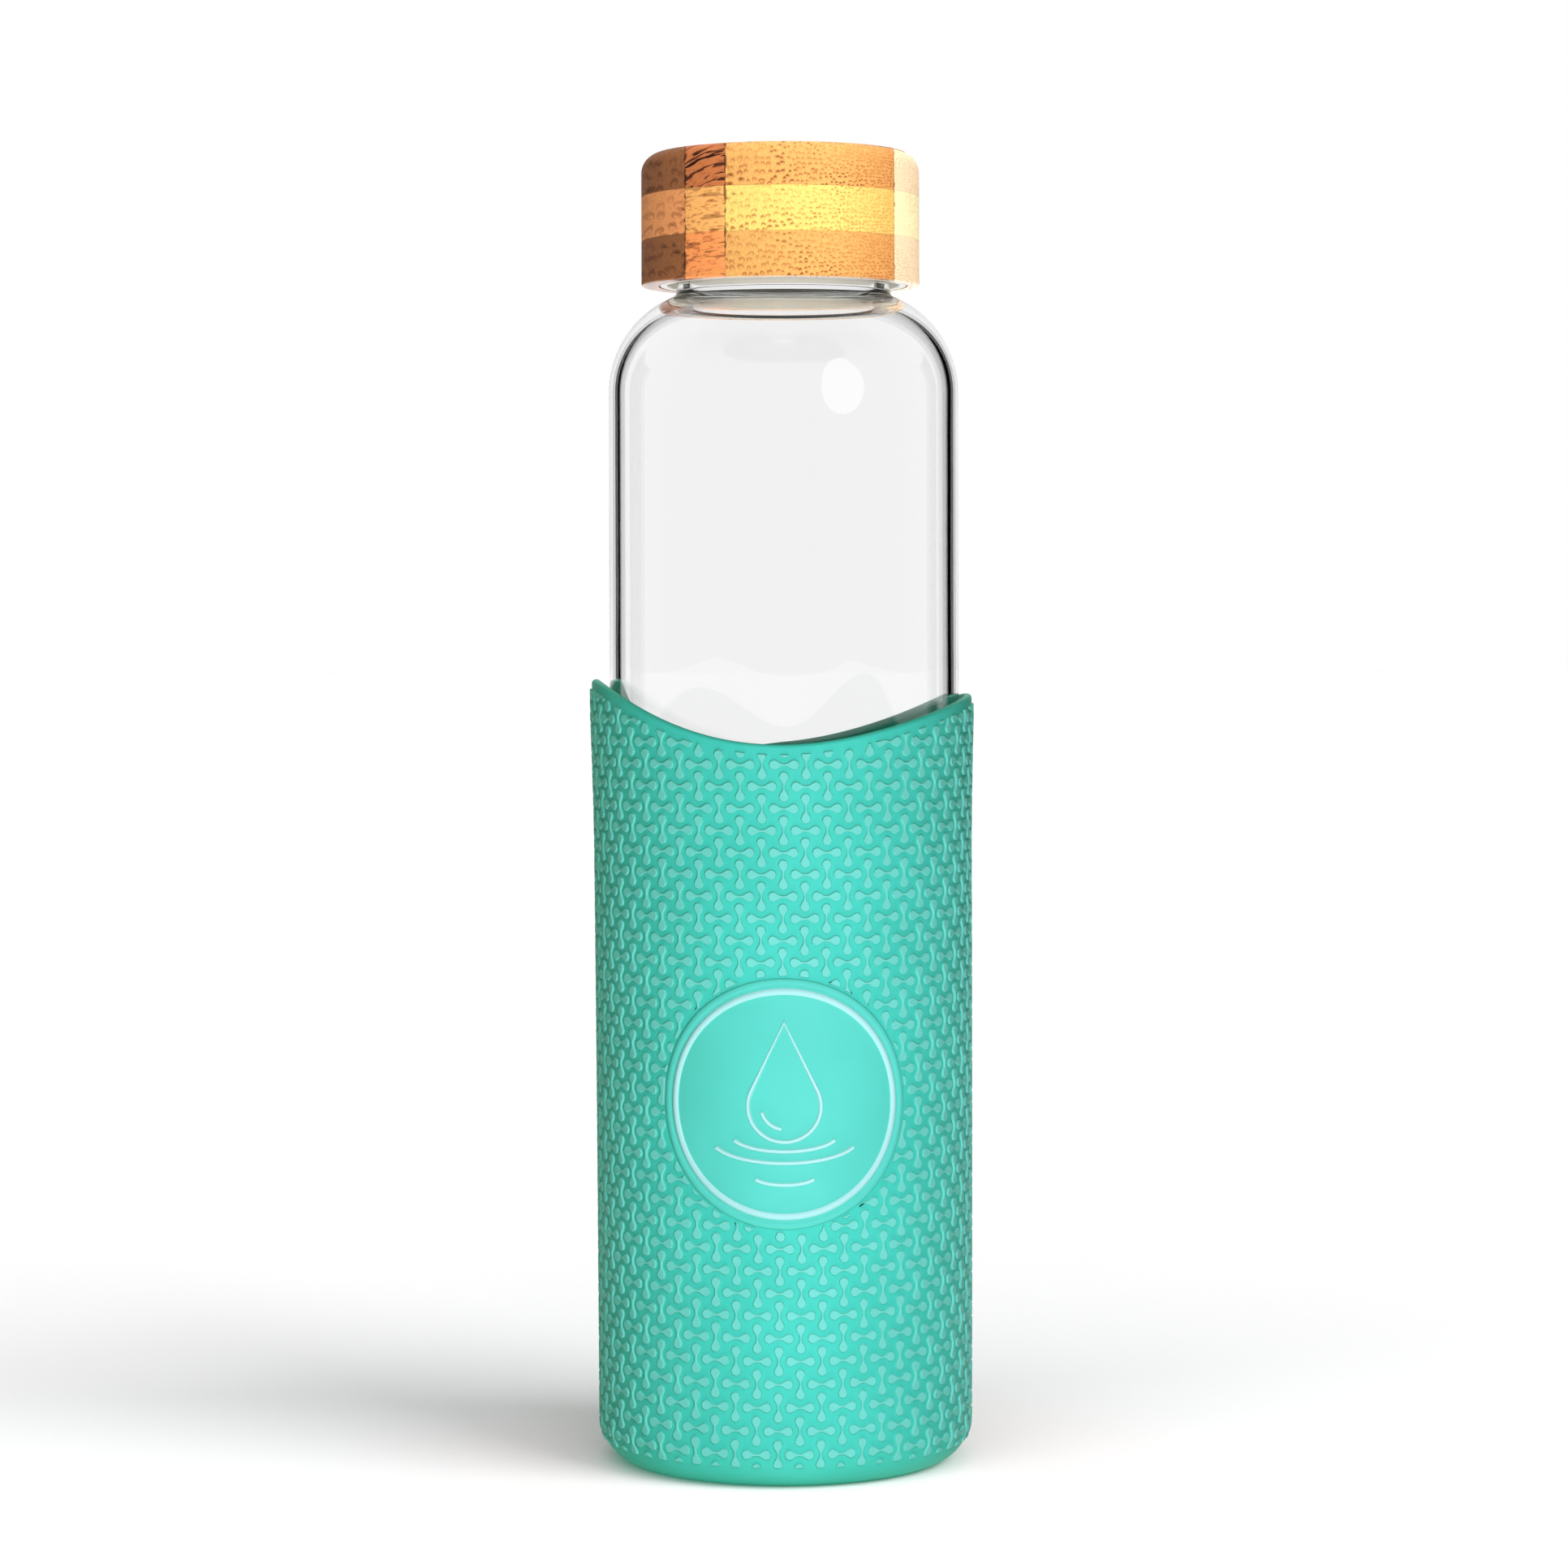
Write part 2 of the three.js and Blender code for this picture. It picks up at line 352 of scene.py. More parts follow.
def liner_material():
    """Cream moulded plastic."""
    g = Graph("liner_plastic")
    x, y, z = g.position()
    clouds = g.noise(g.vector(x, y, z), 0.15, detail=2.0)
    g.set(Base_Color=g.blend(clouds, (0.80, 0.75, 0.64, 1), (0.86, 0.82, 0.72, 1)))
    g.bump(g.noise(g.vector(x, y, z), 4.0), 0.08, 0.00004)
    return g.set(Roughness=g.smooth(clouds, 0.3, 0.7, 0.12, 0.18)).material


def seal_material():
    """Milky silicone."""
    g = Graph("seal_silicone")
    x, y, z = g.position()
    clouds = g.noise(g.vector(x, y, z), 0.3, detail=2.0)
    g.set(Base_Color=g.blend(clouds, (0.82, 0.83, 0.82, 1), (0.9, 0.9, 0.89, 1)))
    return g.set(Roughness=g.smooth(clouds, 0.3, 0.7, 0.45, 0.55), Subsurface_Weight=0.1).material


def wood_colours(body, vessel, streak):
    """Colours of a strip of bamboo: the body of the wood, its vessels, and its darkest streaks."""
    return {"body": (*body, 1), "vessel": (*vessel, 1), "streak": (*streak, 1)}


WOODS = {
    "dark": wood_colours((0.70, 0.37, 0.105), (0.34, 0.085, 0.022), (0.04, 0.010, 0.006)),
    "light": wood_colours((0.75, 0.59, 0.155), (0.50, 0.17, 0.04), (0.20, 0.06, 0.02)),
    # Painted shade: the left-end woods are darker, for the shade on the left side of the lid.
    "dark_end": wood_colours((0.27, 0.105, 0.040), (0.12, 0.037, 0.014), (0.03, 0.01, 0.006)),
    "light_end": wood_colours((0.78, 0.32, 0.115), (0.38, 0.12, 0.045), (0.10, 0.03, 0.012)),
    "dark_streaked": wood_colours((0.49, 0.155, 0.050), (0.32, 0.08, 0.03), (0.025, 0.007, 0.005)),
    "light_streaked": wood_colours((0.82, 0.40, 0.12), (0.50, 0.17, 0.05), (0.13, 0.04, 0.015)),
    "bottom_ply_streaked": wood_colours((0.82, 0.29, 0.088), (0.48, 0.14, 0.045), (0.08, 0.02, 0.01)),
    # Painted highlight: the right-end woods are light cream, for the bright light on the right side of the
    # lid.
    "dark_painted_glare": wood_colours((0.85, 0.71, 0.50), (0.66, 0.38, 0.18), (0.30, 0.08, 0.04)),
    "light_painted_glare": wood_colours((0.86, 0.81, 0.52), (0.70, 0.50, 0.22), (0.40, 0.14, 0.06)),
}


def glue_lines(g, x, y, z):
    """1 on the thin, uneven dark lines where two strips are glued together."""
    wander = g.noise(g.vector(x, y, z), 0.6, detail=3.0)
    nearest = None
    for joint in JOINTS:
        offset = g.math("ABSOLUTE", g.math("SUBTRACT", x, joint + LID_SHIFT))
        offset = g.math("ADD", offset, 0.16 if joint > 0 else 0.04)
        nearest = offset if nearest is None else g.math("MINIMUM", nearest, offset)
    return g.math("LESS_THAN", nearest, g.smooth(wander, 0.38, 0.7, 0.04, 0.34))


def facing_up(g):
    """1 where the surface faces straight up, and -1 where it faces down."""
    normal = g.tree.nodes.new("ShaderNodeSeparateXYZ")
    g.feed(normal.inputs[0], g.node("ShaderNodeNewGeometry", output="True Normal"))
    return normal.outputs[2]


def wood_finish(g, fibre):
    """Dry wood at the sides and top, and a clear varnish on the underside."""
    under = g.smooth(g.math("MULTIPLY", facing_up(g), -1.0), 0.5, 0.9)
    dry = g.smooth(fibre, 0.3, 0.7, 0.55, 0.65)
    g.set(Roughness=g.math("MULTIPLY", dry, g.smooth(under, 0.0, 1.0, 1.0, 0.3)))
    return g.set(Specular_IOR_Level=g.smooth(under, 0.0, 1.0, 0.12, 0.6)).material


def end_grain(name, wood, bottom, height, contrast):
    """Bamboo whose fibres run along Y, so that its vessels show as small dark arches at the front and back.
    They crowd together towards +X, as they do towards the skin of the cane."""
    g = Graph(name)
    x, y, z = g.position()
    crowding, size = 0.0335, 1.12
    growth = g.math("EXPONENT", g.math("MULTIPLY", x, crowding))
    growth = g.math("DIVIDE", growth, crowding * size)
    turn = g.math("MULTIPLY", g.math("SUBTRACT", z, bottom + height / 2), crowding)
    across = g.math("MULTIPLY", growth, g.math("COSINE", turn))
    up = g.math("MULTIPLY", growth, g.math("SINE", turn))
    up = g.math("ADD", up, bottom)
    wobble = g.noise(g.vector(x, g.math("MULTIPLY", y, 0.05), z), 0.35, detail=1.0)
    place = g.vector(g.math("ADD", across, g.math("MULTIPLY", wobble, 1.6)), up, 0.0)
    flat = {"voronoi_dimensions": "2D"}
    cells = {"Vector": place, "Scale": 1.0, "Randomness": 0.62}
    nearest = g.node("ShaderNodeTexVoronoi", output="Position", settings=flat, **cells)
    away = g.tree.nodes.new("ShaderNodeVectorMath")
    away.operation = "SUBTRACT"
    g.feed(away.inputs[0], place)
    g.feed(away.inputs[1], nearest)
    parts = g.tree.nodes.new("ShaderNodeSeparateXYZ")
    g.feed(parts.inputs[0], away.outputs[0])
    side, above = parts.outputs[0], parts.outputs[1]

    def disc(rise, radius, soft):
        """1 inside a disc above the middle of the vessel, with a soft edge."""
        offset = g.math("SUBTRACT", above, rise)
        squares = g.math("ADD", g.math("MULTIPLY", side, side), g.math("MULTIPLY", offset, offset))
        return g.smooth(g.math("SQRT", squares), radius - soft, radius + soft, 1.0, 0.0)

    arch = g.math("MULTIPLY", disc(0.0, 0.34, 0.07), g.math("SUBTRACT", 1.0, disc(-0.16, 0.20, 0.10)))
    rise = g.math("DIVIDE", g.math("SUBTRACT", z, bottom), height)
    fade = g.smooth(rise, 0.1, 0.95, 1.0, 0.5)
    patches = g.noise(g.vector(x, g.math("MULTIPLY", y, 0.1), z), 0.22, detail=2.0)
    depth = g.math("MULTIPLY", fade, g.smooth(patches, 0.3, 0.6, 0.7, 1.0))
    depth = g.math("MULTIPLY", depth, g.smooth(x, -12.0, 22.0, 0.85 * contrast, contrast))
    fibre = g.noise(g.vector(x, g.math("MULTIPLY", y, 0.03), z), 2.4, detail=3.0)
    warmth = g.math("ADD", g.smooth(fibre, 0.35, 0.75, 0.0, 0.3), g.smooth(x, 7.0, 22.0, 0.0, 0.3))
    body = g.blend(warmth, wood["body"], wood["vessel"])
    colour = g.blend(g.math("MULTIPLY", arch, depth), body, wood["vessel"])
    pits = g.math("MULTIPLY", disc(0.02, 0.14, 0.05), g.smooth(patches, 0.5, 0.62, 0.0, 0.7))
    colour = g.blend(pits, colour, wood["streak"])
    colour = g.blend(g.math("MULTIPLY", glue_lines(g, x, y, z), 0.75), colour, wood["streak"])
    g.set(Base_Color=colour)
    g.bump(g.math("SUBTRACT", 1.0, arch), 0.25, 0.00008)
    return wood_finish(g, fibre)


def long_grain(name, wood, bend, blackness):
    """Bamboo whose fibres run along X, so that they show as streaks at the front and back. They curve down
    to both sides of their crest by bend, and its darkest streaks show by blackness."""
    g = Graph(name)
    x, y, z = g.position()
    crest = -9.5
    centred = g.math("SUBTRACT", x, crest)
    level = g.math("ADD", z, g.math("MULTIPLY", g.math("MULTIPLY", centred, centred), bend))
    fine = g.noise(g.vector(g.math("MULTIPLY", x, 0.12), g.math("MULTIPLY", y, 0.5), level), 2.3, detail=3.0)
    long = g.vector(g.math("MULTIPLY", x, 0.07), g.math("MULTIPLY", y, 0.3), g.math("ADD", level, 3.0))
    coarse = g.noise(long, 1.25, detail=2.0)
    body = g.blend(g.smooth(fine, 0.50, 0.68), wood["body"], wood["vessel"])
    lines = g.math("MULTIPLY", g.smooth(coarse, 0.555, 0.60), blackness)
    wave = g.math("SINE", g.math("ADD", g.math("MULTIPLY", level, 2.3), g.math("MULTIPLY", coarse, 6.0)))
    curves = g.math("MULTIPLY", g.smooth(wave, 0.84, 0.95), max(0.0, 2 * blackness - 1.1))
    lines = g.math("MULTIPLY", g.math("MAXIMUM", lines, curves), g.smooth(facing_up(g), 0.4, 0.9, 1.0, 0.15))
    colour = g.blend(lines, body, wood["streak"])
    colour = g.blend(g.math("MULTIPLY", glue_lines(g, x, y, z), 0.75), colour, wood["streak"])
    g.set(Base_Color=colour)
    g.bump(fine, 0.25, 0.00008)
    return wood_finish(g, fine)


# ---------------------------------------------------------------- Glass body

def glass_profile():
    shoulder_axis = GLASS_RADIUS - SHOULDER_RADIUS
    inner_radius = GLASS_RADIUS - GLASS_WALL
    inner_heel = GLASS_HEEL - GLASS_WALL
    inner_shoulder = SHOULDER_RADIUS - GLASS_WALL
    floor_top = GLASS_LOW.z + GLASS_FLOOR
    heel_axis = GLASS_RADIUS - GLASS_HEEL
    # The fillet at the foot of the neck touches both the neck and the shoulder.
    fillet_axis = NECK_RADIUS + NECK_FILLET
    reach = SHOULDER_RADIUS + NECK_FILLET
    lean = math.degrees(math.acos((fillet_axis - shoulder_axis) / reach))
    fillet_height = SHOULDER_START + reach * math.sin(math.radians(lean))
    inner_end = math.degrees(math.acos((MOUTH_RADIUS - shoulder_axis) / inner_shoulder))

    def punt(height):
        steps = 10
        return [(PUNT_RADIUS * k / steps, height + PUNT_RISE * math.cos(math.pi / 2 * k / steps) ** 1.5)
                for k in range(steps + 1)]

    return [
        *punt(GLASS_LOW.z),
        *arc(heel_axis, GLASS_LOW.z + GLASS_HEEL, GLASS_HEEL, -90, 0, 12),
        *[(GLASS_RADIUS, GLASS_LOW.z + 15 * k) for k in range(1, 13)],
        *[(GLASS_RADIUS, SHOULDER_START - below) for below in (4.0, 1.5, 0.5)],
        *arc(shoulder_axis, SHOULDER_START, SHOULDER_RADIUS, 0, lean, 28),
        *arc(fillet_axis, fillet_height, NECK_FILLET, 180 + lean, 180, 6)[1:],
        *arc(NECK_RADIUS - RIM_ROUNDING, GLASS_HIGH.z - RIM_ROUNDING, RIM_ROUNDING, 0, 90, 6),
        *arc(MOUTH_RADIUS + RIM_ROUNDING, GLASS_HIGH.z - RIM_ROUNDING, RIM_ROUNDING, 90, 180, 6),
        *arc(shoulder_axis, SHOULDER_START, inner_shoulder, inner_end, 0, 28),
        *[(inner_radius, SHOULDER_START - below) for below in (0.5, 1.5, 4.0)],
        *[(inner_radius, GLASS_LOW.z + 15 * k) for k in range(12, 0, -1)],
        *arc(inner_radius - inner_heel, floor_top + inner_heel, inner_heel, 0, -90, 10),
        *punt(floor_top)[::-1],
    ]


def glass_bottle():
    material = glass_material()
    piece = mesh_object("glass_body", *turned(glass_profile()), material)
    crest_path = NECK_RADIUS + THREAD_HEIGHT - GLASS_BEAD
    bead = thread_bead(crest_path, (NECK_RADIUS + MOUTH_RADIUS) / 2, THREAD_BOTTOM, GLASS_BEAD)
    combine(piece, mesh_object("neck_thread", *bead, material), "UNION", 60)
    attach(piece, "glass")
    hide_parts("glass_bottle")


# ---------------------------------------------------------------- Silicone sleeve

def rim_height(angle):
    """Height of the scooped rim. The soft lip is high at the sides, and slumps a little out of true. At the
    back it sags further, a little on the right and more on the left."""
    scoop = RIM_MIDDLE - RIM_SCOOP * math.cos(2 * angle)
    slump = 0.7 * math.cos(angle) - 0.6 * math.sin(angle)
    slump = slump - 0.8 * math.sin(2 * angle) + 0.8 * math.sin(3 * angle)
    back = math.sqrt(max(0, -math.cos(angle)))
    right, left = max(0, -math.sin(2 * angle)), max(0, math.sin(2 * angle))
    return scoop + slump - back * (0.7 * right ** 1.3 + 5.0 * left ** 2)


def skin(height):
    """Radius of the sleeve's outer face at a height, without its relief."""
    if height < SLEEVE_CORNER:
        depth = SLEEVE_CORNER - max(height, 0)
        return SLEEVE_BASE - SLEEVE_CORNER + math.sqrt(SLEEVE_CORNER ** 2 - depth ** 2)
    taper = SLEEVE_TAPER * min(height / LIP_START, 1)
    flare = LIP_FLARE * max(0, (height - LIP_START) / (RIM_LOW - LIP_START)) ** 1.5
    return SLEEVE_BASE + taper + min(flare, 1.3 * LIP_FLARE)


def leaned(vertex):
    """The soft sleeve leans sideways a little more the higher it goes."""
    x, y, z = vertex
    return x - LEAN * (z / RIM_LOW) ** 2, y, z


def onto_sleeve(along, height, rise):
    """A point at a distance along the sleeve's skin from the front, at a height, and rise above the skin."""
    return leaned(around(skin(height) + rise, along / RELIEF_RADIUS, height))


def sleeve_shell(material):
    corner_axis = SLEEVE_BASE - SLEEVE_CORNER
    inner_corner = GLASS_HEEL + 0.3
    bore_axis = SLEEVE_BASE - SLEEVE_WALL - inner_corner
    hole_edge = SLEEVE_HOLE + SLEEVE_HOLE_EDGE
    lip_round, lip_inner = 0.75, 0.45
    rows = 40

    def profile(angle):
        rim = rim_height(angle)
        shoulder = rim - lip_round
        wall = [SLEEVE_CORNER + (shoulder - SLEEVE_CORNER) * k / rows for k in range(1, rows + 1)]
        outer, bore = skin(rim), skin(rim) - SLEEVE_WALL
        inner_start = SLEEVE_FLOOR + inner_corner
        return [
            *arc(hole_edge, SLEEVE_HOLE_EDGE, SLEEVE_HOLE_EDGE, 180, 270, 4),
            *arc(corner_axis, SLEEVE_CORNER, SLEEVE_CORNER, -90, 0, 16),
            *[(skin(height), height) for height in wall],
            *arc(outer - lip_round, shoulder, lip_round, 0, 90, 6)[1:],
            *arc(bore + lip_inner, rim - lip_inner, lip_inner, 90, 180, 4),
            *[(skin(height) - SLEEVE_WALL, height) for height in wall[-2::-1] if height > 0],
            *arc(bore_axis, inner_start, inner_corner, 0, -90, 8),
            *arc(hole_edge, SLEEVE_FLOOR - SLEEVE_HOLE_EDGE, SLEEVE_HOLE_EDGE, 90, 180, 4),
        ]

    vertices, faces = turned(profile)
    return mesh_object("sleeve_shell", [leaned(v) for v in vertices], faces, material, sharp=50)


def bone_outline(upright):
    """Outline of one bone round its middle: two round lobes, and a waist that curves into both."""
    # The waist's arc touches both lobes, and its centre is this far from the bone's axis.
    slack = BONE_LOBE - BONE_WAIST
    offset = (BONE_REACH ** 2 - slack ** 2) / (2 * slack)
    turn = math.degrees(math.atan2(offset, -BONE_REACH))
    waist = offset - BONE_WAIST
    right = arc(BONE_REACH, 0, BONE_LOBE, -turn, turn, 6)
    top = arc(0, offset, waist, turn - 180, -turn, 4)[1:-1]
    outline = [*right, *top]
    outline += [(-x, -y) for x, y in outline]
    return [(-y, x) for x, y in outline] if upright else outline


def relief_room(along, height):
    """Distance from the nearest smooth border, positive where bones may stand."""
    angle = along / RELIEF_RADIUS
    step = 0.01
    slope = (rim_height(angle + step) - rim_height(angle - step)) / (2 * step * RELIEF_RADIUS)
    under_rim = rim_height(angle) - RIM_BORDER * math.hypot(1, slope) - height
    wrapped = (along + math.pi * RELIEF_RADIUS) % (2 * math.pi * RELIEF_RADIUS) - math.pi * RELIEF_RADIUS
    from_badge = math.hypot(wrapped / BADGE_STRETCH, height - BADGE_HEIGHT) - BADGE_RADIUS - BADGE_GROOVE
    return min(under_rim, height - RELIEF_BOTTOM, from_badge)


def area(outline):
    following = outline[1:] + outline[:1]
    return sum(x1 * y2 - x2 * y1 for (x1, y1), (x2, y2) in zip(outline, following)) / 2


def kept_parts(outline):
    """The parts of an outline that lie inside the relief's borders, each closed by a straight cut."""
    room = [relief_room(*point) for point in outline]
    if min(room) > 0:
        return [outline]
    if max(room) <= 0:
        return []
    parts, run = [], []
    count = len(outline)
    start = room.index(min(room))
    for step in range(1, count + 1):
        before, now = (start + step - 1) % count, (start + step) % count
        if (room[before] > 0) != (room[now] > 0):
            share = room[before] / (room[before] - room[now])
            (x1, y1), (x2, y2) = outline[before], outline[now]
            run.append((x1 + (x2 - x1) * share, y1 + (y2 - y1) * share))
            if room[now] <= 0:
                parts.append(run)
                run = []
        if room[now] > 0:
            run.append(outline[now])
    smallest = 0.4
    return [part for part in parts if len(part) > 3 and area(part) > smallest]


def grown(outline, distance):
    """The outline with each point moved outwards by a distance."""
    count = len(outline)
    moved = []
    for k, (x, y) in enumerate(outline):
        (x0, y0), (x1, y1) = outline[k - 1], outline[(k + 1) % count]
        length = math.hypot(x1 - x0, y1 - y0) or 1
        moved.append((x + distance * (y1 - y0) / length, y - distance * (x1 - x0) / length))
    return moved


def bone_middle(row, column):
    height = BONE_ROW - row * BONE_PITCH - ROW_DRIFT * max(0, row - DRIFT_START) ** 3
    return column * BONE_PITCH + BONE_TWIST * (height - TWIST_HEIGHT), height


def sleeve_relief(material):
    """Bones in a square lattice, every other one upright. Each has a soft foot and a soft upper edge."""
    # How far the outline is moved outwards at each step up from the skin, and how high the step stands.
    steps = ((0.07, -0.05), (0.0, 0.30), (-0.10, BONE_RISE))
    vertices, faces = [], []
    rows = range(-3, int((BONE_ROW - RELIEF_BOTTOM) / BONE_PITCH) + 2)
    for row in rows:
        for column in range(PITCHES_ROUND):
            upright = (row + column) % 2 == 1
            along, height = bone_middle(row, column)
            outline = [(along + x, height + y) for x, y in bone_outline(upright)]
            for part in kept_parts(outline):
                count, first = len(part), len(vertices)
                for distance, rise in steps:
                    vertices += [onto_sleeve(x, y, rise) for x, y in grown(part, distance)]
                for ring in range(len(steps) - 1):
                    for k in range(count):
                        a, b = first + ring * count + k, first + ring * count + (k + 1) % count
                        faces.append([a, b, b + count, a + count])
                last = first + (len(steps) - 1) * count
                faces.append(list(range(last, last + count)))
    return mesh_object("sleeve_relief", vertices, faces, material, sharp=32)


def ridge(points, width, rise, closed=False):
    """A low ridge along a line on the badge, flat on top, with sloped sides."""
    section = ((-0.5, -0.1), (-0.28, rise), (0.28, rise), (0.5, -0.1))
    vertices, faces = [], []
    count = len(points)
    for k, (x, y) in enumerate(points):
        before = points[k - 1] if closed or k > 0 else points[0]
        after = points[(k + 1) % count] if closed or k < count - 1 else points[-1]
        dx, dy = after[0] - before[0], after[1] - before[1]
        length = math.hypot(dx, dy)
        nx, ny = dy / length, -dx / length
        for share, height in section:
            vertices.append((x + nx * width * share, y + ny * width * share, BADGE_RISE + height))
    for k in range(count if closed else count - 1):
        a, b = 4 * k, 4 * ((k + 1) % count)
        for side in range(4):
            other = (side + 1) % 4
            faces.append([a + side, b + side, b + other, a + other])
    if not closed:
        faces.append([0, 1, 2, 3])
        faces.append([4 * count - 1, 4 * count - 2, 4 * count - 3, 4 * count - 4])
    return vertices, faces


def emblem():
    """A drop over three ripples: the lines of the badge, and whether each closes on itself."""
    drop_radius, tip, centre = 6.4, 14.6, -0.4
    touch = math.degrees(math.acos(drop_radius / (tip - centre)))
    bowl = arc(0, centre, drop_radius, 90 + touch, 450 - touch, 40)
    yield [(0, tip), *bowl], True
    yield arc(0, centre, drop_radius - 2.3, 195, 262, 12), False
    for width, depth, level in ((9.4, 2.9, -5.6), (13.0, 4.0, -6.6), (5.4, 1.5, -13.0)):
        yield [(width * math.cos(math.radians(a)), level + depth * math.sin(math.radians(a)))
               for a in range(200, 341, 5)], False


def placed_on_badge(vertices):
    return [onto_sleeve(x * BADGE_STRETCH, BADGE_HEIGHT + y, rise) for x, y, rise in vertices]


def sleeve_badge(material):
    """The round plate of the badge, with a raised lip along its edge and a shallow channel inside the lip."""
    edge = 0.6
    lip = ((0.9, 0.14), (1.1, 0.1), (1.35, -0.1))
    # The plate is bent round the sleeve, so its faces have rings of points between middle and edge.
    profile = [
        *[(radius, -BADGE_DEPTH) for radius in (0, 7, 14, 20, BADGE_RADIUS)],
        *arc(BADGE_RADIUS - edge, BADGE_RISE - 0.5, edge, 0, 90, 6)[:-1],
        *[(BADGE_RADIUS - inward, BADGE_RISE + rise) for inward, rise in lip],
        *[(radius, BADGE_RISE) for radius in (19, 17, 13, 9, 4.5, 0)],
    ]
    vertices, faces = turned(profile, 160)
    # Turned about Z, a profile's angle 0 is at -Y, which is the foot of the badge.
    return mesh_object("sleeve_badge", placed_on_badge(vertices), faces, material, sharp=40)


def sleeve_badge_lines(material):
    """The raised ring and emblem of the badge."""
    vertices, faces = [], []
    ring = arc(0, 0, BADGE_RING, 0, 360, 120)[:-1]
    for line, closed, width in ((ring, True, RING_WIDTH), *[(*each, LINE_WIDTH) for each in emblem()]):
        line_vertices, line_faces = ridge(line, width, LINE_RISE, closed)
        faces += [[index + len(vertices) for index in face] for face in line_faces]
        vertices += line_vertices
    return mesh_object("sleeve_badge_lines", placed_on_badge(vertices), faces, material, sharp=60)


def silicone_sleeve():
    shell = sleeve_shell(silicone_material("silicone_turquoise", 0.0))
    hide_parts("silicone_sleeve")
    pieces = (
        shell,
        # The last numbers are painted highlight: the relief, badge and lines are whiter copies of the same
        # silicone.
        sleeve_relief(silicone_material("silicone_relief", 0.07)),
        sleeve_badge(silicone_material("silicone_badge", 0.025)),
        sleeve_badge_lines(silicone_material("silicone_lines", 0.24)),
    )
    for piece in pieces:
        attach(piece, "sleeve")


# ---------------------------------------------------------------- Lid

def lid_seal():
    soft = 0.5
    inner, outer = SEAL_BORE + soft, SEAL_HIGH.x - soft
    bottom, top = SEAL_LOW.z + soft, SEAL_HIGH.z - soft
    profile = [
        *arc(inner, bottom, soft, 180, 270, 4),
        *arc(outer, bottom, soft, -90, 0, 4),
        *arc(outer, top, soft, 0, 90, 4),
        *arc(inner, top, soft, 90, 180, 4),
    ]
    piece = mesh_object("seal_ring", *turned(profile), seal_material())
    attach(piece, "seal")
    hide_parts("lid_seal")


def threaded_liner():
    material = liner_material()
    radius, bottom, top = LINER_HIGH.x, LINER_LOW.z, LINER_HIGH.z
    bore, roof = radius - LINER_WALL, top - LINER_ROOF
    soft, outer_corner, inner_corner = 0.35, 0.8, 0.4
    profile = [
        *arc(bore + soft, bottom + soft, soft, 180, 270, 4),
        *arc(radius - soft, bottom + soft, soft, -90, 0, 4),
        *arc(radius - outer_corner, top - outer_corner, outer_corner, 0, 90, 5),
        (0, top), (0, roof), (bore - 2, roof),
        *arc(bore - inner_corner, roof - inner_corner, inner_corner, 90, 0, 4),
    ]
    # The profile passes through the axis, so it is turned from the roof's underside round to its top.
    turn = profile.index((0, roof))
    profile = profile[turn:] + profile[:turn]
    piece = mesh_object("liner_cup", *turned(profile), material, sharp=40)
    path = bore - THREAD_HEIGHT + LINER_BEAD
    bead = thread_bead(path, bore + LINER_WALL / 5, THREAD_BOTTOM - PITCH / 2, LINER_BEAD)
    combine(piece, mesh_object("liner_thread", *bead, material), "UNION", 50)
    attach(piece, "lid")
    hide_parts("threaded_liner")


def ply_blank(name, bottom, top, material):
    """One full ply before it is cut into strips. The top ply has a recess, and the others a through hole."""
    roof = LINER_HIGH.z + 0.15
    if name == "top_ply":
        profile = [
            (0, roof), (LID_BORE, roof), (LID_BORE, bottom), (LID_RADIUS, bottom),
            *arc(LID_RADIUS - LID_CORNER, top - LID_CORNER, LID_CORNER, 0, 90, 16),
            (0, top),
        ]
    elif name == "middle_ply":
        profile = [(LID_BORE, bottom), (LID_RADIUS, bottom), (LID_RADIUS, top), (LID_BORE, top)]
    else:
        profile = [
            (LID_BORE, bottom),
            *arc(LID_RADIUS - LID_EDGE, bottom + LID_EDGE, LID_EDGE, -90, 0, 6),
            (LID_RADIUS, top), (LID_BORE, top),
        ]

    def shifted(angle):
        """The bore stays on the liner's axis, and the outside sits LID_SHIFT beside it."""
        shift = LID_SHIFT * math.sin(angle)
        return [(radius + shift if radius > LID_BORE else radius, height) for radius, height in profile]

    return mesh_object(name, *turned(shifted), material, sharp=30)


def block(low, high):
    vertices = [(x, y, z) for x in (low[0], high[0]) for y in (low[1], high[1]) for z in (low[2], high[2])]
    faces = [(0, 1, 3, 2), (4, 6, 7, 5), (0, 4, 5, 1), (2, 3, 7, 6), (0, 2, 6, 4), (1, 5, 7, 3)]
    return vertices, faces


